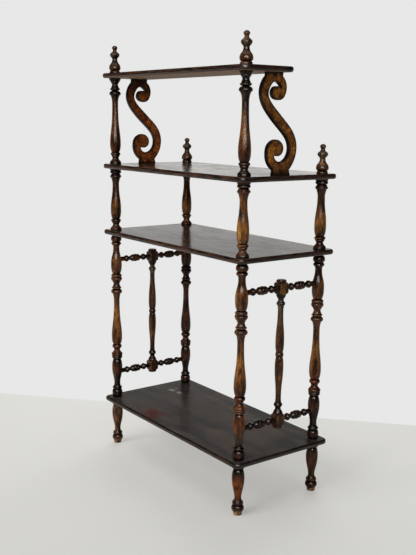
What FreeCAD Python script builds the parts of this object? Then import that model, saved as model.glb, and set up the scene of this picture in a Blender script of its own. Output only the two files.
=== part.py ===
import FreeCAD, Part
import math
import os
from FreeCAD import Vector

# Four-tier etagere of turned and sawn wood, glued and doweled, no moving parts.
# Millimetres. Origin on the floor under the middle, Z up, X along the length.
# The open stepped front with the low finials faces -Y, the tall back posts stand at +Y.

# ---------------------------------------------------------------- layout
post_spacing_x = 628.0      # post axis to post axis along the length
post_spacing_y = 267.0      # post axis to post axis, front to back
shelf_overhang = 31.0       # shelf edge beyond the post axes
shelf_thickness = 14.0
shelf_corner_radius = 16.0
shelf_edge_round = 5.5      # rounding of the shelf edge, above and below
top_shelf_depth = 166.5     # front to back, from the back edge

foot_height = 141.5         # floor to underside of bottom shelf
lower_bay = 527.0           # bottom shelf top to middle shelf underside
middle_bay = 189.0          # middle shelf top to upper shelf underside
upper_bay = 256.0           # upper shelf top to top shelf underside
tall_finial_height = 80.5
low_finial_height = 77.5

# ---------------------------------------------------------------- turning radii of the posts
ring_radius = 17.4          # the widest rings
belly_radius = 16.4         # vase bellies
foot_radius = 17.0          # bulb and belly of a foot
flange_radius = 17.5        # where a section spreads onto a shelf
bead_radius = 15.0          # the narrower rings
groove_radius = 10.2        # creases between rings and bellies
neck_radius = 9.6           # short necks beside the rings
slim_radius = 9.0           # thin end of the long vases
tall_finial_ring = 15.8     # ring at the foot of a tall finial
low_finial_ring = 15.4      # ring at the foot of a low finial
low_finial_drop = 0.8       # how much lower its bulbs sit

# ---------------------------------------------------------------- end galleries
low_rail_rise = 83.3        # lower rail axis above the bottom shelf
high_rail_drop = 80.1       # upper rail axis below the middle shelf
block_side = 27.6           # square block of the gallery spindle
block_height = 30.5
block_shoulder = 6.0        # height of the turned shoulder of a block
cap_height = 7.4            # round cap beyond each block
cap_radius = 13.4
cap_edge = 3.0              # rounding of a cap's outer edge
spindle_belly_radius = 11.8
spindle_slim_radius = 7.5
rail_barrel_radius = 11.8
rail_ball_radius = 10.3
rail_neck_radius = 5.9
rail_end_radius = 7.3
rail_seat = 12.3            # flat seat of a rail end, from the post axis

# ---------------------------------------------------------------- scroll brackets
scroll_thickness = 10.0
scroll_setback = 34.5       # bracket middle line behind the front edge of the top shelf
scroll_end_inset = 28.0     # bracket middle plane inside the ends of the shelves

# ---------------------------------------------------------------- joints
tenon_radius = 7.0
tenon_reach = 14.0          # how far a tenon goes into the next section beyond the shelf
rail_tenon_radius = 4.2
rail_tenon_length = 9.0
dowel_radius = 3.0
dowel_in_shelf = 9.0
dowel_in_bracket = 10.0
joint_gap = 0.3             # round a tenon or dowel in its hole
end_gap = 0.5               # beyond the end of a tenon or dowel

# ---------------------------------------------------------------- levels that follow from these
bottom_top = foot_height + shelf_thickness
middle_under = bottom_top + lower_bay
middle_top = middle_under + shelf_thickness
upper_under = middle_top + middle_bay
upper_top = upper_under + shelf_thickness
top_under = upper_top + upper_bay
top_top = top_under + shelf_thickness

half_x = post_spacing_x / 2
half_y = post_spacing_y / 2
back_edge = half_y + shelf_overhang
low_rail_z = bottom_top + low_rail_rise
high_rail_z = middle_under - high_rail_drop
scroll_x = half_x + shelf_overhang - scroll_end_inset
scroll_y = back_edge - top_shelf_depth + scroll_setback

SIDES = (("left", -1), ("right", 1))
ROWS = (("front", -1), ("back", 1))

os.makedirs("parts", exist_ok=True)

# ---------------------------------------------------------------- turning patterns
# Each move is (ends, height, radius) or (ends, height, radius, pull, pull).
# The two letters of ends give the direction of the curve where the move starts and stops:
# A along the axis, S square to the axis, D straight at the other end.

FOOT = [
    ("DD", 0.0, 11.2),
    ("DD", 7.0, 12.2),
    ("DA", 18.4, foot_radius, 0.5, 0.4),
    ("AS", 28.0, 11.2),
    ("SA", 32.0, bead_radius),
    ("AS", 37.6, 13.2),
    ("SA", 47.5, 9.2),
    ("AA", 104.0, foot_radius, 0.3, 0.5),
    ("AS", 129.0, groove_radius, 0.6, 0.5),
    ("SA", 134.0, 16.8),
    ("DD", 141.5, 16.8),
]

LOWER_POST = [
    ("DD", 0.0, 12.5),
    ("SA", 16.0, 16.2),
    ("AS", 26.0, 10.6),
    ("SA", 31.3, bead_radius),
    ("AS", 34.2, 12.4),
    ("SA", 46.5, neck_radius),
    ("AA", 100.5, belly_radius, 0.3, 0.5),
    ("AS", 125.6, groove_radius),
    ("SA", 130.2, 16.0),
    ("AS", 132.6, 14.8),
    ("SA", 135.6, 16.8),
    ("AS", 138.6, 15.2),
    ("SA", 142.2, ring_radius),
    ("AA", 156.0, neck_radius, 0.34, 0.5),
    ("AA", 167.8, bead_radius),
    ("AS", 173.4, groove_radius),
    ("SA", 198.5, belly_radius, 0.48, 0.5),
    ("AA", 316.0, slim_radius, 0.32, 0.6),
    ("AS", 340.4, 15.0),
    ("SA", 345.2, ring_radius),
    ("AS", 353.6, 8.4),
    ("SA", 357.4, 15.2),
    ("AS", 360.0, 11.8),
    ("SA", 362.0, 12.0),
    ("AA", 369.2, neck_radius, 0.2, 0.5),
    ("AA", 386.6, ring_radius, 0.42, 0.36),
    ("AS", 390.9, 14.2),
    ("SA", 396.2, 16.6),
    ("AS", 401.6, groove_radius),
    ("SA", 429.8, 17.0, 0.58, 0.5),
    ("AA", 486.0, neck_radius, 0.54, 0.5),
    ("AA", 497.4, 15.4, 0.65, 0.3),
    ("AS", 503.2, groove_radius),
    ("SA", 512.0, 16.6),
    ("AS", 523.2, 9.6),
    ("DD", 527.0, 12.5),
]

MIDDLE_POST = [
    ("DD", 0.0, 16.4),
    ("SA", 2.3, flange_radius),
    ("AA", 17.4, neck_radius, 0.45, 0.5),
    ("AA", 23.0, 12.8, 0.55, 0.3),
    ("AS", 24.8, 12.0),
    ("SA", 29.4, 15.4),
    ("AS", 33.6, groove_radius),
    ("SA", 59.5, 16.0, 0.52, 0.5),
    ("AA", 141.0, 10.0, 0.47, 0.5),
    ("AS", 162.0, 15.6, 0.4, 0.3),
    ("SA", 165.2, ring_radius),
    ("AS", 167.8, 15.0),
    ("SA", 169.6, 15.2),
    ("AS", 172.8, groove_radius),
    ("SA", 178.2, 17.3),
    ("AS", 182.4, 14.6),
    ("SA", 186.5, ring_radius),
    ("DD", 189.0, ring_radius),
]

UPPER_POST = [
    ("DD", 0.0, 16.4),
    ("SA", 2.3, flange_radius),
    ("AA", 18.2, neck_radius, 0.55, 0.5),
    ("AA", 24.0, 12.2, 0.5, 0.3),
    ("AS", 25.8, 11.6),
    ("SA", 30.6, bead_radius),
    ("AS", 34.9, groove_radius),
    ("SA", 60.6, belly_radius, 0.52, 0.5),
    ("AA", 181.5, slim_radius, 0.29, 0.65),
    ("AS", 206.0, 15.4, 0.55, 0.35),
    ("SA", 210.2, ring_radius),
    ("AS", 218.8, 7.6),
    ("SA", 223.4, bead_radius),
    ("AS", 226.6, 11.6),
    ("SA", 228.6, 11.8),
    ("AA", 235.6, 9.2, 0.2, 0.5),
    ("AA", 244.4, 13.4, 0.7, 0.2),
    ("AS", 246.0, 12.8),
    ("SA", 254.0, flange_radius, 0.4, 0.5),
    ("DD", 256.0, flange_radius),
]


def finial_pattern(foot_ring, drop):
    """Pattern of a finial over its foot ring, its bulbs set lower by the drop."""
    return [
        ("DD", 0.0, foot_ring - 0.6),
        ("SA", 2.3, foot_ring),
        ("AS", 7.8 - drop / 2, foot_ring - 4.0),
        ("SA", 15.0 - drop, 17.2),
        ("AA", 40.5 - drop, 7.6),
        ("AA", 53.5 - drop, 14.3, 0.4, 0.5),
        ("AA", 66.3 - drop, 5.8),
        ("AA", 73.9, 8.2),
        ("AS", 80.5, 0.0),
    ]


# half of the gallery spindle's turning, from a block to the ring at its middle
HALF_SPINDLE = [
    ("DD", 0.0, cap_radius),
    ("AA", 17.4, 7.6, 0.6, 0.4),
    ("AA", 26.8, spindle_belly_radius),
    ("AS", 31.0, 9.8),
    ("SA", 47.0, spindle_slim_radius),
    ("AA", 135.0, spindle_belly_radius),
    ("AS", 160.0, 8.4),
    ("SA", 166.5, 11.1),
]

# from the block face to the seat in the post
HALF_RAIL = [
    ("DD", 0.0, 6.6),
    ("AA", 9.5, 6.2),
    ("AA", 20.8, rail_ball_radius, 0.5, 0.4),
    ("AA", 31.3, rail_neck_radius, 0.4, 0.5),
    ("AA", 43.0, 10.9, 0.4, 0.5),
    ("AS", 46.0, 10.0),
    ("SA", 51.5, rail_barrel_radius),
    ("AS", 57.0, 10.0),
    ("SA", 60.0, 10.9),
    ("AA", 71.5, rail_neck_radius, 0.5, 0.4),
    ("AA", 83.0, rail_ball_radius, 0.5, 0.4),
    ("AA", 93.5, 7.0, 0.4, 0.5),
    ("DD", 107.2, rail_end_radius),
]

# ---------------------------------------------------------------- outline of a scroll bracket
# (front to back, height above the upper shelf), seen from the left end, stretched to fit the bay
SCROLL_FOOT_FRONT = (-43.5, 0)
SCROLL_FOOT_BACK = (14.5, 0)
SCROLL_HEAD_FRONT = (-12.5, 256)
SCROLL_HEAD_BACK = (41, 256)
SCROLL_FRONT_EDGE = [
    (-39.6, 13), (-53.6, 31), (-62.7, 54.8), (-63, 80), (-49.2, 110.7), (-22.3, 137.8),
    (9.8, 167.1), (27.8, 186.2), (34, 201), (29.4, 218.5), (12.5, 233), (0.2, 227.5), (-9.5, 216.5),
]
SCROLL_UPPER_CURL = [
    (-9.5, 216.5), (4, 221.5), (15.5, 219.5), (23.3, 207.2), (20.6, 195.7), (11, 189.2), (-2.5, 187.3),
    (-14.3, 192), (-21.8, 203), (-25.2, 218.5), (-21.5, 234), (-12, 245.6),
]
SCROLL_BACK_EDGE = [
    (40.9, 246), (52.8, 230), (58.8, 208.1), (54.4, 184.2), (34.9, 155.3), (5.9, 126.5),
    (-20.6, 102.6), (-35.1, 83), (-38.2, 63), (-28.8, 42.5), (-9, 33.5), (6.4, 39), (11.5, 50.3),
]
SCROLL_LOWER_CURL = [
    (11.5, 50.3), (2, 48.1), (-9.3, 50.4), (-18.1, 60.7), (-18.1, 73.4), (-9, 85), (5.5, 90),
    (19, 86.5), (31.6, 75), (36, 57), (33, 36.4), (24, 22), (12.6, 12.6),
]


def handle(letter, pull, rise, spread):
    """Pull of a curve end, as (along the axis, away from the axis)."""
    if letter == "A":
        return pull * rise, 0.0
    if letter == "S":
        return 0.0, pull * spread
    return rise / 3, spread / 3


def turned(pattern, length):
    """Solid turned about Z from Z = 0 to the length, the pattern stretched to that length."""
    stretch = length / pattern[-1][1]
    radius = pattern[0][2]
    height = 0.0
    edges = [Part.makeLine(Vector(0, 0, 0), Vector(radius, 0, 0))]
    for ends, level, new_radius, *pulls in pattern[1:]:
        new_height = level * stretch
        rise = new_height - height
        spread = new_radius - radius
        start = Vector(radius, 0, height)
        stop = Vector(new_radius, 0, new_height)
        if ends == "DD":
            edges.append(Part.makeLine(start, stop))
        else:
            first, last = pulls or (0.5, 0.5)
            along_1, away_1 = handle(ends[0], first, rise, spread)
            along_2, away_2 = handle(ends[1], last, rise, spread)
            curve = Part.BezierCurve()
            curve.setPoles([
                start,
                start + Vector(away_1, 0, along_1),
                stop - Vector(away_2, 0, along_2),
                stop,
            ])
            edges.append(curve.toShape())
        radius = new_radius
        height = new_height
    if radius > 0:
        edges.append(Part.makeLine(Vector(radius, 0, height), Vector(0, 0, height)))
    edges.append(Part.makeLine(Vector(0, 0, height), Vector(0, 0, 0)))
    face = Part.Face(Part.Wire(edges))
    return face.revolve(Vector(0, 0, 0), Vector(0, 0, 1), 360)


def mirrored(half):
    """Whole pattern from a half pattern and its mirror image above it."""
    middle = half[-1][1]
    whole = list(half)
    for index in range(len(half) - 1, 0, -1):
        ends, level, radius, *pulls = half[index]
        end_level, end_radius = half[index - 1][1:3]
        whole.append((ends[::-1], 2 * middle - end_level, end_radius, *pulls[::-1]))
    return whole


def cylinder(radius, length, start, direction):
    return Part.makeCylinder(radius, length, start, direction)


UP = Vector(0, 0, 1)


def add_tenon(section, length):
    """Tenon on top of a section, through a shelf and into the next section."""
    tenon = cylinder(tenon_radius, shelf_thickness + tenon_reach, Vector(0, 0, length), UP)
    return section.fuse(tenon).removeSplitter()


def cut_socket(section):
    """Socket in the bottom of a section for the tenon of the section below."""
    return section.cut(cylinder(tenon_radius + joint_gap, tenon_reach + end_gap, Vector(0, 0, 0), UP))


def save(shape, node):
    shape.exportStep("parts/" + node + ".step")


def placed(shape, x, y, z):
    copy = shape.copy()
    copy.translate(Vector(x, y, z))
    return copy


# ---------------------------------------------------------------- shelves
def shelf(front_edge, under):
    """Board with rounded corners and edges between the front edge and the back edge."""
    right = half_x + shelf_overhang
    board = Part.makeBox(2 * right, back_edge - front_edge, shelf_thickness, Vector(-right, front_edge, under))
    upright = [e for e in board.Edges if abs(e.tangentAt(e.FirstParameter).z) > 0.9]
    board = board.makeFillet(shelf_corner_radius, upright)
    rim = [e for e in board.Edges if abs(e.BoundBox.ZMax - e.BoundBox.ZMin) < 0.01]
    return board.makeFillet(shelf_edge_round, rim)


def bore(board, x, y):
    """Tenon hole through a board."""
    low = Vector(x, y, board.BoundBox.ZMin - 1)
    return board.cut(cylinder(tenon_radius + joint_gap, shelf_thickness + 2, low, UP))


def dowel_hole(solid, x, y, level, depth, direction):
    return solid.cut(cylinder(dowel_radius + joint_gap, depth + end_gap, Vector(x, y, level), direction))


bottom_shelf = shelf(-back_edge, foot_height)
middle_shelf = shelf(-back_edge, middle_under)
upper_shelf = shelf(-back_edge, upper_under)
top_shelf = shelf(back_edge - top_shelf_depth, top_under)

foot_dowel_y = scroll_y + (SCROLL_FOOT_FRONT[0] + SCROLL_FOOT_BACK[0]) / 2
head_dowel_y = scroll_y + (SCROLL_HEAD_FRONT[0] + SCROLL_HEAD_BACK[0]) / 2
for side, sx in SIDES:
    x = sx * half_x
    for row, sy in ROWS:
        bottom_shelf = bore(bottom_shelf, x, sy * half_y)
        middle_shelf = bore(middle_shelf, x, sy * half_y)
        upper_shelf = bore(upper_shelf, x, sy * half_y)
    top_shelf = bore(top_shelf, x, half_y)
    upper_shelf = dowel_hole(upper_shelf, sx * scroll_x, foot_dowel_y, upper_top, dowel_in_shelf, -UP)
    top_shelf = dowel_hole(top_shelf, sx * scroll_x, head_dowel_y, top_under, dowel_in_shelf, UP)

save(bottom_shelf, "bottom_shelf")
save(middle_shelf, "middle_shelf")
save(upper_shelf, "upper_shelf")
save(top_shelf, "top_shelf")

# ---------------------------------------------------------------- feet, posts and finials
foot = add_tenon(turned(FOOT, foot_height), foot_height)
lower_post = cut_socket(add_tenon(turned(LOWER_POST, lower_bay), lower_bay))
middle_post = cut_socket(add_tenon(turned(MIDDLE_POST, middle_bay), middle_bay))
upper_post = cut_socket(add_tenon(turned(UPPER_POST, upper_bay), upper_bay))
tall_finial = cut_socket(turned(finial_pattern(tall_finial_ring, 0), tall_finial_height))
low_finial = cut_socket(turned(finial_pattern(low_finial_ring, low_finial_drop), low_finial_height))


def seat_rails(post, sy):
    """Seats and tenon holes for the two rail ends on the side of a lower post that faces the middle."""
    inward = Vector(0, -sy, 0)
    for z in (low_rail_z - bottom_top, high_rail_z - bottom_top):
        seat = Vector(0, -sy * rail_seat, z)
        post = post.cut(cylinder(rail_end_radius + joint_gap, 2 * rail_seat, seat, inward))
        depth = rail_tenon_length + end_gap
        post = post.cut(cylinder(rail_tenon_radius + joint_gap, depth, seat, -inward))
    return post


for side, sx in SIDES:
    x = sx * half_x
    for row, sy in ROWS:
        y = sy * half_y
        corner = side + "_" + row
        save(placed(foot, x, y, 0), "foot_" + corner)
        save(placed(seat_rails(lower_post, sy), x, y, bottom_top), "lower_post_" + corner)
        save(placed(middle_post, x, y, middle_top), "middle_post_" + corner)
    save(placed(upper_post, x, half_y, upper_top), "upper_post_" + side)
    save(placed(tall_finial, x, half_y, top_top), "tall_finial_" + side)
    save(placed(low_finial, x, -half_y, upper_top), "low_finial_" + side)

# ---------------------------------------------------------------- end galleries
block_reach = block_side * math.sqrt(0.5) + 0.1     # just outside the corners of the block
shoulder_pattern = [
    ("DD", 0.0, cap_radius),
    ("SA", block_shoulder, block_reach),
    ("DD", block_height - block_shoulder, block_reach),
    ("AS", block_height, cap_radius),
]
cap_pattern = [
    ("DD", 0.0, cap_radius),
    ("DD", cap_height - cap_edge, cap_radius),
    ("AS", cap_height, cap_radius - cap_edge),
]


def square_block():
    """Square block with turned shoulders, its middle at Z = 0."""
    prism = Part.makeBox(block_side, block_side, block_height, Vector(-block_side / 2, -block_side / 2, 0))
    block = prism.common(turned(shoulder_pattern, block_height))
    return placed(block, 0, 0, -block_height / 2)


def gallery_spindle():
    """Turned spindle with two square blocks and round caps, the lower rail height at Z = 0."""
    rise = high_rail_z - low_rail_z
    low_end = block_height / 2
    turning = placed(turned(mirrored(HALF_SPINDLE), rise - block_height), 0, 0, low_end)
    cap = turned(cap_pattern, cap_height)
    top_cap = placed(cap, 0, 0, rise + low_end)
    low_cap = placed(cap.mirror(Vector(0, 0, 0), UP), 0, 0, -low_end)
    block = square_block()
    spindle = turning.fuse([block, placed(block, 0, 0, rise), top_cap, low_cap])
    for z in (0, rise):
        for row, sy in ROWS:
            outward = Vector(0, sy, 0)
            start = Vector(0, sy * (block_side / 2 - rail_tenon_length - end_gap), z)
            hole = cylinder(rail_tenon_radius + joint_gap, block_side, start, outward)
            spindle = spindle.cut(hole)
    return spindle


def half_rail():
    """Turned half rail along Z, block face at Z = 0, with a tenon at both ends."""
    length = half_y - rail_seat - block_side / 2
    body = turned(HALF_RAIL, length)
    tenon_span = length + 2 * rail_tenon_length
    core = cylinder(rail_tenon_radius, tenon_span, Vector(0, 0, -rail_tenon_length), UP)
    return body.fuse(core).removeSplitter()


spindle = gallery_spindle()
rail = half_rail()
for side, sx in SIDES:
    x = sx * half_x
    save(placed(spindle, x, 0, low_rail_z), "gallery_spindle_" + side)
    for row, sy in ROWS:
        lying = rail.copy()
        lying.rotate(Vector(0, 0, 0), Vector(1, 0, 0), -90 * sy)
        for level, z in (("lower", low_rail_z), ("upper", high_rail_z)):
            save(placed(lying, x, sy * block_side / 2, z), level + "_rail_" + side + "_" + row)

# ---------------------------------------------------------------- scroll brackets and their dowels
scroll_stretch = upper_bay / SCROLL_HEAD_BACK[1]


def scroll_point(point):
    return Vector(0, point[0], point[1] * scroll_stretch)


def scroll_curve(points):
    curve = Part.BSplineCurve()
    curve.interpolate([scroll_point(p) for p in points])
    return curve.toShape()


def scroll_bracket():
    """Flat sawn S-scroll standing on its foot, in the plane of the bay's ends."""
    straight = [
        (SCROLL_FOOT_FRONT, SCROLL_FRONT_EDGE[0]),
        (SCROLL_UPPER_CURL[-1], SCROLL_HEAD_FRONT),
        (SCROLL_HEAD_FRONT, SCROLL_HEAD_BACK),
        (SCROLL_HEAD_BACK, SCROLL_BACK_EDGE[0]),
        (SCROLL_LOWER_CURL[-1], SCROLL_FOOT_BACK),
        (SCROLL_FOOT_BACK, SCROLL_FOOT_FRONT),
    ]
    edges = [Part.makeLine(scroll_point(a), scroll_point(b)) for a, b in straight]
    for points in (SCROLL_FRONT_EDGE, SCROLL_UPPER_CURL, SCROLL_BACK_EDGE, SCROLL_LOWER_CURL):
        edges.append(scroll_curve(points))
    outline = Part.Wire(Part.__sortEdges__(edges))
    board = Part.Face(outline).extrude(Vector(scroll_thickness, 0, 0))
    return placed(board, -scroll_thickness / 2, scroll_y, upper_top)


bracket = scroll_bracket()
dowel_length = dowel_in_shelf + dowel_in_bracket
dowels = []
for side, sx in SIDES:
    x = sx * scroll_x
    whole = placed(bracket, x, 0, 0)
    whole = dowel_hole(whole, x, foot_dowel_y, upper_top, dowel_in_bracket, UP)
    whole = dowel_hole(whole, x, head_dowel_y, top_under, dowel_in_bracket, -UP)
    save(whole, "scroll_bracket_" + side)
    dowels.append(cylinder(dowel_radius, dowel_length, Vector(x, foot_dowel_y, upper_top - dowel_in_shelf), UP))
    dowels.append(cylinder(dowel_radius, dowel_length, Vector(x, head_dowel_y, top_under - dowel_in_bracket), UP))
save(Part.makeCompound(dowels), "scroll_dowels")
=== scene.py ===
import math

import bpy
from mathutils import Matrix, Vector

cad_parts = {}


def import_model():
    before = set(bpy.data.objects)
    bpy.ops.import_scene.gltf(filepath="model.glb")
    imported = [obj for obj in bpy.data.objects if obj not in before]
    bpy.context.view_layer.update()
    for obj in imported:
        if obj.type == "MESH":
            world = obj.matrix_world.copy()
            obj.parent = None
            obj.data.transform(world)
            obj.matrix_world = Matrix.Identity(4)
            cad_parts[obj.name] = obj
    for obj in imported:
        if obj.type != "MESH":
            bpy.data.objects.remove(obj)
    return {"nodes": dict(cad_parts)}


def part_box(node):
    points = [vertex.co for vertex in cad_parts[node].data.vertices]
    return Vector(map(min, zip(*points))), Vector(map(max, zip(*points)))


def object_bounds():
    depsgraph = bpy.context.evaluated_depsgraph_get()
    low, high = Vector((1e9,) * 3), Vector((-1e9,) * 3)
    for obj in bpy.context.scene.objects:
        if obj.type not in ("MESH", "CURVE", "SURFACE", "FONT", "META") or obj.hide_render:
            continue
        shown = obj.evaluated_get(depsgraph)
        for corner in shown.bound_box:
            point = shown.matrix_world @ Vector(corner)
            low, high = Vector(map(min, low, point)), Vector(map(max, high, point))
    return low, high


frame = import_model()
cad_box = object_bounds()


# ---------------------------------------------------------------- places, in metres
def middle(node):
    """Middle of a CAD node's box."""
    low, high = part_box(node)
    return (low + high) / 2


HEIGHT = cad_box[1].z
POST_X, POST_Y = middle("lower_post_right_back").xy
LOW_RAIL_Z = middle("lower_rail_left_back").z
HIGH_RAIL_Z = middle("upper_rail_left_back").z


# ---------------------------------------------------------------- node kit
LINEAR_LIMIT = 0.04045    # display value below which the display curve is a straight line
OCCLUSION_SAMPLES = 8
MIX_FACTOR, MIX_FIRST, MIX_SECOND, MIX_COLOUR = 0, 6, 7, 2    # the colour sockets of a mix node


def paint(red, green, blue):
    """Linear colour from display values of 0 to 255."""
    shares = [value / 255 for value in (red, green, blue)]
    return tuple(((s + 0.055) / 1.055) ** 2.4 if s > LINEAR_LIMIT else s / 12.92 for s in shares) + (1,)


class Nodes:
    """A node tree with short ways to add to it. A value is a number, a colour or another node's socket."""

    def __init__(self, tree):
        self.tree = tree

    def put(self, socket, value):
        if isinstance(value, bpy.types.NodeSocket):
            self.tree.links.new(value, socket)
        else:
            socket.default_value = value

    def add(self, kind, **inputs):
        node = self.tree.nodes.new(kind)
        for name, value in inputs.items():
            self.put(node.inputs[name.replace("_", " ")], value)
        return node

    def math(self, operation, *values):
        node = self.add("ShaderNodeMath")
        node.operation = operation
        for socket, value in zip(node.inputs, values):
            self.put(socket, value)
        return node.outputs[0]

    def plus(self, first, second):
        return self.math("ADD", first, second)

    def minus(self, first, second):
        return self.math("SUBTRACT", first, second)

    def largest(self, first, second):
        return self.math("MAXIMUM", first, second)

    def magnitude(self, value):
        """The value without its sign."""
        return self.math("ABSOLUTE", value)

    def times(self, *values):
        result = values[0]
        for value in values[1:]:
            result = self.math("MULTIPLY", result, value)
        return result

    def length(self, *components):
        """Length of the vector with these components."""
        total = self.times(components[0], components[0])
        for component in components[1:]:
            total = self.plus(total, self.times(component, component))
        return self.math("SQRT", total)

    def step(self, value, low, high, start=0.0, stop=1.0):
        """Smooth change from start, where the value is low, to stop, where it is high."""
        node = self.add(
            "ShaderNodeMapRange", Value=value, From_Min=low, From_Max=high, To_Min=start, To_Max=stop)
        node.interpolation_type = "SMOOTHSTEP"
        return node.outputs[0]

    def mix_shaders(self, factor, first, second):
        node = self.add("ShaderNodeMixShader", Fac=factor)
        self.put(node.inputs[1], first)
        self.put(node.inputs[2], second)
        return node.outputs[0]


class Material(Nodes):
    """A material whose patterns lie in the part's own coordinates, in metres."""

    def __init__(self, name):
        self.material = bpy.data.materials.new(name)
        self.material.use_nodes = True
        super().__init__(self.material.node_tree)
        self.shader = self.tree.nodes["Principled BSDF"]
        self.output = self.tree.nodes["Material Output"]
        self.place = self.add("ShaderNodeTexCoord").outputs["Object"]
        self.x, self.y, self.z = self.add("ShaderNodeSeparateXYZ", Vector=self.place).outputs
        normal = self.add("ShaderNodeNewGeometry").outputs["Normal"]
        self.nx, _, self.nz = self.add("ShaderNodeSeparateXYZ", Vector=normal).outputs

    def noise(self, cells, detail=4.0, roughness=0.55, shift=0.0, warp=0.0):
        """Noise from 0 to 1, with so many cells to a metre along X, Y and Z. The shift moves it elsewhere."""
        mapping = self.add(
            "ShaderNodeMapping", Vector=self.place, Scale=cells, Location=(shift, shift * 0.7, shift * 0.3))
        node = self.add(
            "ShaderNodeTexNoise", Vector=mapping.outputs[0], Scale=1.0, Detail=detail, Roughness=roughness,
            Distortion=warp)
        return node.outputs["Fac"]

    def mix(self, factor, first, second, blend="MIX"):
        """Colour from the first, where the factor is 0, to the second, where it is 1."""
        node = self.add("ShaderNodeMix")
        node.data_type = "RGBA"
        node.blend_type = blend
        self.put(node.inputs[MIX_FACTOR], factor)
        self.put(node.inputs[MIX_FIRST], first)
        self.put(node.inputs[MIX_SECOND], second)
        return node.outputs[MIX_COLOUR]

    def ramp(self, value, stops):
        """Colour along a value from 0 to 1."""
        node = self.add("ShaderNodeValToRGB", Fac=value)
        band = node.color_ramp
        while len(band.elements) < len(stops):
            band.elements.new(0.5)
        for element, (place, colour) in zip(band.elements, stops):
            element.position = place
            element.color = colour
        return node.outputs[0]

    def openness(self, reach):
        """One in the open, towards zero in grooves and corners narrower than the reach."""
        node = self.add("ShaderNodeAmbientOcclusion", Distance=reach)
        node.samples = OCCLUSION_SAMPLES
        return node.outputs["AO"]

    def crest(self, reach):
        """Towards one on outward edges and the tops of rings, zero on flat and broad faces."""
        node = self.add("ShaderNodeAmbientOcclusion", Distance=reach)
        node.samples = OCCLUSION_SAMPLES
        node.inside = True
        return self.minus(1.0, node.outputs["AO"])

    def relief(self, height, distance, strength):
        node = self.add("ShaderNodeBump", Height=height, Distance=distance, Strength=strength)
        self.put(self.shader.inputs["Normal"], node.outputs[0])

    def finish(self, colour, roughness, specular):
        self.put(self.shader.inputs["Base Color"], colour)
        self.put(self.shader.inputs["Roughness"], roughness)
        self.put(self.shader.inputs["Specular IOR Level"], specular)
        return self.material


# ---------------------------------------------------------------- stains of the wood
BLACK = paint(6, 4, 3)
DARK = paint(34, 21, 12)
MAROON = paint(64, 33, 19)
RUSSET = paint(92, 44, 20)
BROWN = paint(94, 58, 32)
UMBER = paint(98, 72, 48)
ORANGE = paint(128, 66, 24)
AMBER = paint(122, 76, 35)
GOLD = paint(148, 97, 44)
DUST = paint(112, 92, 68)
PALE = paint(160, 124, 80)

# The colour of a turning along its height: (share of the stand's height, colour).
POST_ZONES = [
    (0.0, BROWN),
    (0.012, MAROON),
    (0.034, MAROON),
    (0.052, ORANGE),
    (0.072, ORANGE),
    (0.095, DARK),
    (0.135, MAROON),
    (0.155, DARK),
    (0.175, UMBER),
    (0.205, ORANGE),
    (0.225, BROWN),
    (0.26, RUSSET),
    (0.30, AMBER),
    (0.34, GOLD),
    (0.38, BROWN),
    (0.45, BROWN),
    (0.48, AMBER),
    (0.52, BROWN),
    (0.54, MAROON),
    (0.57, BROWN),
    (0.61, GOLD),
    (0.65, AMBER),
    (0.675, BROWN),
    (0.692, MAROON),
    (0.71, DARK),
    (0.73, DARK),
    (0.755, RUSSET),
    (0.82, AMBER),
    (0.865, BROWN),
    (0.885, DARK),
    (0.93, DARK),
]
FINIAL_ZONES = [
    (0.0, DARK),
    (0.71, DARK),
    (0.722, AMBER),
    (0.76, DUST),
    (0.785, AMBER),
    (0.92, BROWN),
    (0.945, AMBER),
    (0.965, DARK),
    (0.98, UMBER),
    (1.0, BROWN),
]
GALLERY_ZONES = [
    (0.0, DARK),
    (0.19, RUSSET),
    (0.22, DARK),
    (0.27, AMBER),
    (0.34, BROWN),
    (0.40, BROWN),
    (0.44, DUST),
    (0.465, DARK),
    (0.5, RUSSET),
]
RAIL_ZONES = [(0.0, DARK), (1.0, BROWN)]

# Stretches of single posts with a stain of their own: (x, y, lowest z, highest z, strength, colour).
POST_STAINS = [
    (-POST_X, -POST_Y, 0.18, 0.30, 0.75, DARK),
    (POST_X, POST_Y, 0.18, 0.30, 0.65, DARK),
    (POST_X, -POST_Y, 0.16, 0.68, 0.8, MAROON),
    (POST_X, -POST_Y, 0.70, 0.94, 0.45, RUSSET),
    (POST_X, POST_Y, 0.70, 0.94, 0.55, MAROON),
    (-POST_X, -POST_Y, 0.03, 0.14, 0.5, BROWN),
    (POST_X, POST_Y, 0.03, 0.14, 0.7, UMBER),
]
FINIAL_STAINS = [
    (POST_X, -POST_Y, 0.86, 1.03, 0.45, DARK),
    (POST_X, POST_Y, 1.23, 1.3, 0.6, DARK),
]


# ---------------------------------------------------------------- turned wood
STAIN_REACH = 0.05, 0.08       # from a post's axis, full strength to none
STAIN_FADE = 0.012             # half the height over which a stain begins and ends
BLOCK_REACH = 0.012, 0.02      # above and below a rail's axis, full strength to none
HOLLOW = 0.012                 # reach of the shade in coves
GROOVE_SHADE = 0.004                   # reach of the painted black shade in fine grooves
RING_EDGE = 0.004              # reach of the wear and painted highlight on rings
CHIPPED_HEIGHT = 0.002, 0.022  # above the floor, full strength to none
TURNING_RELIEF = 0.0005
TURNING_SPECULAR = 0.14


def with_golden_blocks(m, colour):
    """Outer faces of the gallery blocks, which are golden."""
    outer = m.step(m.times(m.nx, m.math("SIGN", m.x)), 0.8, 0.95)
    for height, tone in ((LOW_RAIL_Z, AMBER), (HIGH_RAIL_Z, GOLD)):
        level = m.step(m.magnitude(m.minus(m.z, height)), *BLOCK_REACH, 1.0, 0.0)
        colour = m.mix(m.times(outer, level), colour, tone)
    return colour


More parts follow.
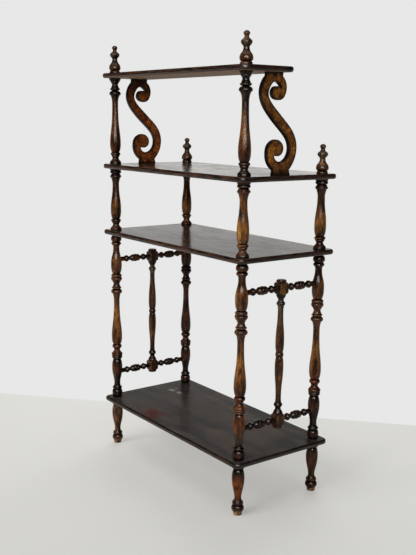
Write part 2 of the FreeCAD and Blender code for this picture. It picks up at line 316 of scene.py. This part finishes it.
def with_stains(m, colour, stains):
    """Stains on single posts, each between two heights."""
    for x, y, low, high, strength, tone in stains:
        here = m.step(m.length(m.minus(m.x, x), m.minus(m.y, y)), *STAIN_REACH, 1.0, 0.0)
        above = m.step(m.z, low - STAIN_FADE, low + STAIN_FADE)
        below = m.step(m.z, high - STAIN_FADE, high + STAIN_FADE, strength, 0.0)
        colour = m.mix(m.times(here, above, below), colour, tone)
    return colour


def turned_wood(name, cells, zones, blocks=False, stains=()):
    """Stained turning: painted shade in grooves, rings worn pale with painted highlights, chipped at the
    floor.

    The zones give its colour along the height. With blocks, the gallery blocks are golden outside."""
    m = Material(name)
    streaks = m.noise(cells, detail=5, roughness=0.65, warp=0.4)
    fibres = m.noise(tuple(4 * count for count in cells), detail=4, roughness=0.7, shift=3.1)
    patches = m.noise((34, 34, 20), detail=4, roughness=0.6, shift=12.3)
    pores = m.noise((420, 420, 170), detail=2, roughness=0.7, shift=1.9)
    chips = m.noise((110, 110, 160), detail=4, roughness=0.6, shift=9.4)

    colour = m.ramp(m.math("DIVIDE", m.z, HEIGHT), zones)
    if blocks:
        colour = with_golden_blocks(m, colour)
    colour = with_stains(m, colour, stains)

    # Grain and tone of the wood, times painted shade that darkens the coves.
    shade = m.times(
        m.step(streaks, 0.36, 0.64, 0.28, 1.12),
        m.step(patches, 0.37, 0.58, 0.3, 1.08),
        m.step(fibres, 0.42, 0.66, 1.15, 0.4),
        m.step(pores, 0.56, 0.7, 1.0, 0.35),
        m.step(m.openness(HOLLOW), 0.5, 0.93, 0.05, 1.0))
    colour = m.mix(1.0, colour, shade, "MULTIPLY")
    # Painted shade: fine grooves turn black.
    groove_shade = m.step(m.openness(GROOVE_SHADE), 0.62, 0.95, 0.85, 0.0)
    colour = m.mix(groove_shade, colour, BLACK)

    # Pale ring crests: partly wear, partly a painted highlight.
    wear_and_highlight = m.times(m.step(m.crest(RING_EDGE), 0.2, 0.55), m.step(patches, 0.34, 0.54), 0.6)
    chipped = m.times(m.step(m.z, *CHIPPED_HEIGHT, 0.8, 0.0), m.step(chips, 0.44, 0.56))
    colour = m.mix(m.largest(wear_and_highlight, chipped), colour, PALE)

    roughness = m.plus(m.times(fibres, 0.24), 0.1)
    m.relief(m.plus(m.times(pores, 0.6), fibres), TURNING_RELIEF, 0.5)
    return m.finish(colour, roughness, TURNING_SPECULAR)


# ---------------------------------------------------------------- boards
BOARD_RELIEF = 0.0005

# Two pale scuffs with a fainter one, and two red stains: (x, y, reach, colour).
BOTTOM_MARKS = [
    (0.2655, -0.0459, 0.012, paint(150, 150, 130)),
    (0.2301, -0.0497, 0.011, paint(140, 140, 120)),
    (0.2755, -0.0687, 0.008, paint(110, 110, 96)),
    (0.1177, 0.1227, 0.04, paint(70, 20, 16)),
    (0.1074, 0.1484, 0.03, paint(64, 20, 14)),
]


def with_marks(m, colour, marks, fine):
    """Spots drawn out along the grain and broken up by it."""
    broken = m.step(fine, 0.3, 0.6, 0.3, 0.9)
    for x, y, reach, tone in marks:
        away = m.length(m.times(m.minus(m.x, x), 0.6), m.minus(m.y, y))
        colour = m.mix(m.times(m.step(away, 0.2 * reach, reach, 1.0, 0.0), broken), colour, tone)
    return colour


def board_wood(name, top, grain, under, rim, specular, dullness, depth, streak_count, marks=()):
    """Stained board, its grain along X, with dark worn edges and a paler, dull underside.

    The dullness is the least roughness of the top, the depth is how strong the fine grain is, and the
    streak count is how many broad streaks lie side by side in a metre."""
    m = Material(name)
    broad = m.noise((4, streak_count, streak_count), detail=5, roughness=0.65, warp=0.5)
    fine = m.noise((16, 300, 300), detail=4, roughness=0.65, shift=2.3)
    cloud = m.noise((7, 10, 10), detail=4, roughness=0.6, shift=5.5)
    chips = m.noise((22, 22, 240), detail=4, roughness=0.65, shift=1.7)
    underside = m.step(m.nz, -0.95, -0.7, 1.0, 0.0)
    side = m.step(m.magnitude(m.nz), 0.9, 0.995, 1.0, 0.0)

    face = m.mix(m.step(broad, 0.38, 0.66), top, grain)
    face = m.mix(m.step(fine, 0.5, 0.7, 0.0, depth), face, BLACK)
    face = m.mix(m.step(cloud, 0.45, 0.7, 0.0, 0.35), face, BLACK)
    face = with_marks(m, face, marks, fine)
    below = m.mix(m.step(broad, 0.35, 0.65), under, m.mix(0.5, under, BROWN))
    edge = m.mix(m.step(chips, 0.36, 0.66), paint(8, 7, 6), rim)
    colour = m.mix(side, m.mix(underside, face, below), edge)

    uneven = m.plus(m.times(m.step(fine, 0.35, 0.65), 0.25 * depth), m.times(cloud, 0.2))
    least = m.largest(m.times(underside, 0.7), m.times(side, 0.3))
    roughness = m.largest(m.plus(uneven, dullness), least)
    m.relief(m.plus(m.times(fine, depth), broad), BOARD_RELIEF, 0.6 * depth)
    return m.finish(colour, roughness, specular)


# ---------------------------------------------------------------- scroll brackets
OUTLINE_EDGE = 0.008        # reach of the dark line round a face
SCROLL_HOLLOW = 0.02        # reach of the shade in hollows and corners
DARK_TOP = 1.09, 1.13       # heights over which the right scroll's top turns dark
RIGHT_TINT = paint(285, 228, 165)    # multiplies the colour of the right scroll
SCROLL_RELIEF = 0.0006
SCROLL_SPECULAR = 0.15


def scroll_wood():
    """Sawn scroll: golden mottled faces, dark along the outline, near black sawn edges.

    The right one is redder, with a dark top."""
    m = Material("scroll_wood")
    blot = m.noise((62, 62, 50), detail=5, roughness=0.68, warp=0.3)
    cloud = m.noise((24, 24, 18), detail=3, shift=4.0)
    fibres = m.noise((340, 340, 190), detail=3, roughness=0.7, shift=1.0)
    right_one = m.step(m.x, -0.1, 0.1)

    face = m.mix(m.step(blot, 0.34, 0.6), paint(92, 46, 12), paint(188, 120, 30))
    face = m.mix(m.step(cloud, 0.42, 0.62, 0.5, 0.0), face, paint(70, 28, 12))
    face = m.mix(m.times(right_one, 0.75), face, RIGHT_TINT, "MULTIPLY")
    dark_top = m.times(right_one, m.step(m.z, *DARK_TOP, 0.0, 0.75))
    face = m.mix(dark_top, face, paint(46, 20, 14))
    face = m.mix(m.step(fibres, 0.44, 0.62, 0.0, 0.85), face, paint(36, 20, 8))
    face = m.mix(m.step(m.crest(OUTLINE_EDGE), 0.02, 0.4, 0.0, 0.9), face, paint(26, 10, 6))

    sawn = m.mix(m.step(blot, 0.4, 0.65), paint(8, 6, 6), paint(30, 19, 14))
    colour = m.mix(m.step(m.magnitude(m.nx), 0.4, 0.8), sawn, face)
    # Painted shade: hollows and corners turn towards black.
    colour = m.mix(m.step(m.openness(SCROLL_HOLLOW), 0.5, 0.9, 0.6, 0.0), colour, BLACK)

    roughness = m.plus(m.times(blot, 0.25), 0.28)
    m.relief(m.plus(m.times(fibres, 0.6), blot), SCROLL_RELIEF, 0.6)
    return m.finish(colour, roughness, SCROLL_SPECULAR)


# ---------------------------------------------------------------- materials of the nodes
post_wood = turned_wood("post_wood", (120, 120, 14), POST_ZONES, stains=POST_STAINS)
finial_wood = turned_wood("finial_wood", (120, 120, 40), FINIAL_ZONES, stains=FINIAL_STAINS)
rail_wood = turned_wood("rail_wood", (150, 20, 150), RAIL_ZONES)
spindle_wood = turned_wood("spindle_wood", (150, 150, 16), GALLERY_ZONES, blocks=True)
bracket_wood = scroll_wood()
bottom_board = board_wood(
    "bottom_board", top=paint(40, 38, 38), grain=paint(66, 57, 50), under=paint(84, 62, 44),
    rim=paint(42, 27, 17), specular=0.33, dullness=0.1, depth=0.25, streak_count=13, marks=BOTTOM_MARKS)
upper_board = board_wood(
    "board", top=paint(23, 16, 13), grain=paint(52, 38, 29), under=paint(134, 105, 74),
    rim=paint(64, 39, 27), specular=0.27, dullness=0.02, depth=0.45, streak_count=46)

# A node takes the first material whose word is in its name.
NODE_MATERIALS = [
    ("post", post_wood),
    ("foot", post_wood),
    ("finial", finial_wood),
    ("rail", rail_wood),
    ("spindle", spindle_wood),
    ("bottom_shelf", bottom_board),
    ("shelf", upper_board),
    ("scroll", bracket_wood),
]
for node_name, piece in frame["nodes"].items():
    material = next(wood for word, wood in NODE_MATERIALS if word in node_name)
    piece.data.materials.clear()
    piece.data.materials.append(material)


# ---------------------------------------------------------------- floor and light
WALL_TONE = paint(231, 232, 231)
WALL_SIDE = (0.675, -0.738)      # level direction from the stand to the wall's tone
WALL_START = 0.480, 0.490        # along that direction, floor to wall tone
NEAR_TONE_SPAN = -0.8, 0.5       # along that direction, darker to lighter even tone, a painted fall-off of light
FLOOR_TONE_SPAN = -0.8, 0.8      # along Y, lighter to darker floor, painted lighter where less lamp light falls
EVEN_SPAN = 0.6, 1.8             # from the stand's middle, half even to wholly even
FAR_SPAN = 1.1, 2.6              # from the stand's middle, even tone to the wall's
FLOOR_HALF_SIDE = 12.0
FLOOR_ROUGHNESS = 0.5
FLOOR_SPECULAR = 0.1

LIGHT_TONE = (1.0, 0.985, 0.955, 1)
LOW_LIGHT = -1.2                 # weight of a direction's height in how far it faces the wall's light
FACING_SPAN = 0.38, 1.1          # facing the wall's light, from dimmest to brightest
WALL_LIGHT = 0.03, 1.15          # dimmest and brightest strength
FILL_LIGHT = 0.25
STAND_MIDDLE = Vector((0, 0, 0.6))


def floor_material():
    """Pale floor. Farther off the camera sees it in an even tone, and beyond a line in the wall's."""
    m = Material("floor")
    cloud = m.noise((1.4, 1.4, 1.4))
    colour = m.mix(m.step(cloud, 0.3, 0.7), paint(200, 199, 195), paint(194, 193, 188))
    # Painted light: the floor is lighter towards -Y, where less lamp light falls.
    colour = m.mix(m.step(m.y, *FLOOR_TONE_SPAN), paint(204, 203, 199), colour)
    m.finish(colour, FLOOR_ROUGHNESS, FLOOR_SPECULAR)

    across = m.plus(m.times(m.x, WALL_SIDE[0]), m.times(m.y, WALL_SIDE[1]))
    away = m.length(m.x, m.y)
    # Painted light: the floor tone the camera sees is darker away from the wall, lighter towards it.
    near_tone = m.mix(m.step(across, *NEAR_TONE_SPAN), paint(199, 199, 195), paint(218, 218, 214))
    even_tone = m.mix(m.step(away, *FAR_SPAN), near_tone, WALL_TONE)
    even = m.add("ShaderNodeEmission", Color=even_tone).outputs[0]
    wall = m.add("ShaderNodeEmission", Color=WALL_TONE).outputs[0]
    seen = m.add("ShaderNodeLightPath").outputs["Is Camera Ray"]
    evened = m.times(seen, m.step(away, *EVEN_SPAN, 0.5, 1.0))
    floor = m.mix_shaders(evened, m.shader.outputs[0], even)
    surface = m.mix_shaders(m.step(across, *WALL_START), floor, wall)
    m.put(m.output.inputs["Surface"], surface)
    return m.material


def stage_plane():
    """Floor under the stand, which is no part of it."""
    side = FLOOR_HALF_SIDE
    corners = [(-side, -side, 0), (side, -side, 0), (side, side, 0), (-side, side, 0)]
    mesh = bpy.data.meshes.new("floor")
    mesh.from_pydata(corners, [], [(0, 1, 2, 3)])
    mesh.materials.append(floor_material())
    floor = bpy.data.objects.new("floor", mesh)
    bpy.context.scene.collection.objects.link(floor)


def world():
    """Pale backdrop for the camera. The light comes from the wall's side, most of it from low down.

    A little fill from all round lights the matte surfaces."""
    studio = bpy.data.worlds.new("studio")
    bpy.context.scene.world = studio
    studio.use_nodes = True
    w = Nodes(studio.node_tree)
    facing_wall = w.add("ShaderNodeVectorMath")
    facing_wall.operation = "DOT_PRODUCT"
    w.put(facing_wall.inputs[0], w.add("ShaderNodeTexCoord").outputs["Generated"])
    w.put(facing_wall.inputs[1], (*WALL_SIDE, LOW_LIGHT))
    from_wall = w.step(facing_wall.outputs["Value"], *FACING_SPAN, *WALL_LIGHT)
    path = w.add("ShaderNodeLightPath")
    fill = w.times(path.outputs["Is Diffuse Ray"], FILL_LIGHT)
    light = w.tree.nodes["Background"]
    w.put(light.inputs["Color"], LIGHT_TONE)
    w.put(light.inputs["Strength"], w.largest(from_wall, fill))
    backdrop = w.add("ShaderNodeBackground", Color=WALL_TONE)
    surface = w.mix_shaders(path.outputs["Is Camera Ray"], light.outputs[0], backdrop.outputs[0])
    w.put(w.tree.nodes["World Output"].inputs["Surface"], surface)


def direction(turn, rise):
    """Unit vector at a turn from +X towards +Y and a rise above level, in degrees."""
    turn = math.radians(turn)
    rise = math.radians(rise)
    return Vector((math.cos(turn) * math.cos(rise), math.sin(turn) * math.cos(rise), math.sin(rise)))


def softbox(name, turn, rise, distance, size, power, gloss=True, fill=True):
    """Rectangular lamp that faces the stand. Gloss shows it in reflections, fill lights matte surfaces."""
    data = bpy.data.lights.new(name, "AREA")
    data.shape = "RECTANGLE"
    data.size, data.size_y = size
    data.energy = power
    away = direction(turn, rise)
    lamp = bpy.data.objects.new(name, data)
    lamp.visible_glossy = gloss
    lamp.visible_diffuse = fill
    lamp.location = STAND_MIDDLE + distance * away
    lamp.rotation_euler = away.to_track_quat("Z", "Y").to_euler()
    bpy.context.scene.collection.objects.link(lamp)


stage_plane()
world()
softbox("window", turn=141, rise=24, distance=3.6, size=(3.4, 1.0), power=310, fill=False)
softbox("left_wall", turn=90, rise=28, distance=6.0, size=(3.9, 3.9), power=340, gloss=False)
softbox("right_wall", turn=-48, rise=30, distance=5.0, size=(4.0, 3.0), power=170, gloss=False)
softbox("ceiling", turn=90, rise=84, distance=3.2, size=(3.2, 3.2), power=75)


# ---------------------------------------------------------------- camera
CAMERA_PLACE = (-1.96325, 1.46374, 1.04026)
CAMERA_TURN = -36.55       # degrees, from +X towards +Y
CAMERA_RISE = -10.63       # degrees above level
CAMERA_ROLL = 0.70         # degrees
FOCAL_PIXELS = 848.65      # focal length, in pixels of the picture
LONG_SIDE_PIXELS = 555     # longer side of the picture
SENSOR = 36                # longer side of the sensor, in millimetres


def add_camera():
    ahead = direction(CAMERA_TURN, CAMERA_RISE)
    level_right = ahead.cross(Vector((0, 0, 1))).normalized()
    level_up = level_right.cross(ahead)
    roll = math.radians(CAMERA_ROLL)
    right = level_right * math.cos(roll) + level_up * math.sin(roll)
    up = level_up * math.cos(roll) - level_right * math.sin(roll)
    camera = bpy.data.objects.new("camera", bpy.data.cameras.new("camera"))
    camera.data.sensor_width = SENSOR
    camera.data.lens = FOCAL_PIXELS * SENSOR / LONG_SIDE_PIXELS
    pose = Matrix((right, up, -ahead)).transposed().to_4x4()
    pose.translation = Vector(CAMERA_PLACE)
    camera.matrix_world = pose
    bpy.context.scene.collection.objects.link(camera)
    bpy.context.scene.camera = camera


add_camera()
bpy.context.scene.view_settings.view_transform = "Standard"
